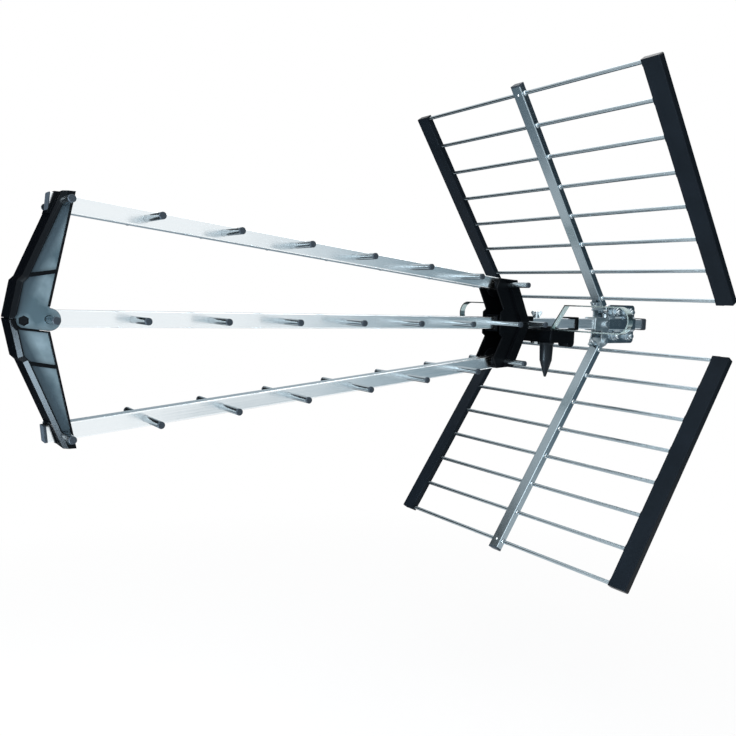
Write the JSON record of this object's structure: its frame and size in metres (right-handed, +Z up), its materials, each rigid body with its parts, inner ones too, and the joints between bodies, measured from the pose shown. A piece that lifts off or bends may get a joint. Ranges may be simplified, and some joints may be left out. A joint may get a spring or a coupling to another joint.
{
  "type": "outdoor tv antenna",
  "caption": "Outdoor TV antenna with a fan of director booms, a folded dipole over a small box, a V-shaped rod reflector and a clamp for an upright tube.",
  "frame": {"origin": "on the axis of the clamp's bore, level with the middle of the centre boom", "axes": "+Z up along the clamp's bore, +Y to the back of the antenna, which receives from -Y; the booms lie at +X of the bore"},
  "size_m": [0.422, 0.9076, 0.6258],
  "materials": {
    "boom_aluminium": "rolled aluminium tube, satin",
    "rod_aluminium": "drawn aluminium rod, satin",
    "strip_aluminium": "flat aluminium strip, satin",
    "channel_aluminium": "rolled aluminium tube, satin",
    "bracket_plastic": "slate grey moulded plastic, fine grain",
    "black_plastic": "black moulded plastic, half gloss",
    "box_plastic": "black moulded plastic, fine grain",
    "plug_plastic": "dark grey moulded plastic",
    "boot_rubber": "soft black rubber",
    "zinc_steel": "zinc-plated steel, pressed",
    "fastener_steel": "zinc-plated steel, bright",
    "blackened_steel": "steel with a black oxide finish",
    "board_laminate": "green circuit board laminate",
    "socket_metal": "nickel-plated brass"
  },
  "bodies": {
    "root": {"front_boom_upper": "boom_aluminium", "front_boom_centre": "boom_aluminium", "front_boom_lower": "boom_aluminium", "rear_boom": "boom_aluminium", "dipole_near": "strip_aluminium", "dipole_far": "strip_aluminium", "reflector_channel_upper": "channel_aluminium", "reflector_channel_lower": "channel_aluminium", "front_bracket_upper": "bracket_plastic", "front_bracket_lower": "bracket_plastic", "rear_bracket": "black_plastic", "boom_clip": "black_plastic", "reflector_bar_upper_near": "black_plastic", "reflector_bar_upper_far": "black_plastic", "reflector_bar_lower_near": "black_plastic", "reflector_bar_lower_far": "black_plastic", "dipole_box": "box_plastic", "dipole_box_lid": "box_plastic", "boom_end_plugs": "plug_plastic", "rod_end_plugs": "plug_plastic", "channel_end_plugs": "plug_plastic", "socket_boot": "boot_rubber", "reflector_bracket": "zinc_steel", "clamp_plate": "zinc_steel", "clamp_jaw": "zinc_steel", "clamp_u_bolts": "zinc_steel", "front_bracket_bolt": "blackened_steel", "hub_bolt": "fastener_steel", "wing_nuts": "fastener_steel", "bracket_bolts": "fastener_steel", "clamp_nuts": "fastener_steel", "balun_board": "board_laminate", "coax_socket": "socket_metal", "hub_rod": "rod_aluminium", "reflector_rods_upper": "rod_aluminium", "reflector_rods_lower": "rod_aluminium", "front_bracket_rod_upper": "rod_aluminium", "rear_bracket_rod_upper": "rod_aluminium", "director_upper_1": "rod_aluminium", "director_upper_2": "rod_aluminium", "director_upper_3": "rod_aluminium", "director_upper_4": "rod_aluminium", "director_upper_5": "rod_aluminium", "director_upper_6": "rod_aluminium", "front_bracket_rod_centre": "rod_aluminium", "rear_bracket_rod_centre": "rod_aluminium", "director_centre_1": "rod_aluminium", "director_centre_2": "rod_aluminium", "director_centre_3": "rod_aluminium", "director_centre_4": "rod_aluminium", "director_centre_5": "rod_aluminium", "director_centre_6": "rod_aluminium", "front_bracket_rod_lower": "rod_aluminium", "rear_bracket_rod_lower": "rod_aluminium", "director_lower_1": "rod_aluminium", "director_lower_2": "rod_aluminium", "director_lower_3": "rod_aluminium", "director_lower_4": "rod_aluminium", "director_lower_5": "rod_aluminium", "director_lower_6": "rod_aluminium"}
  },
  "joints": []
}
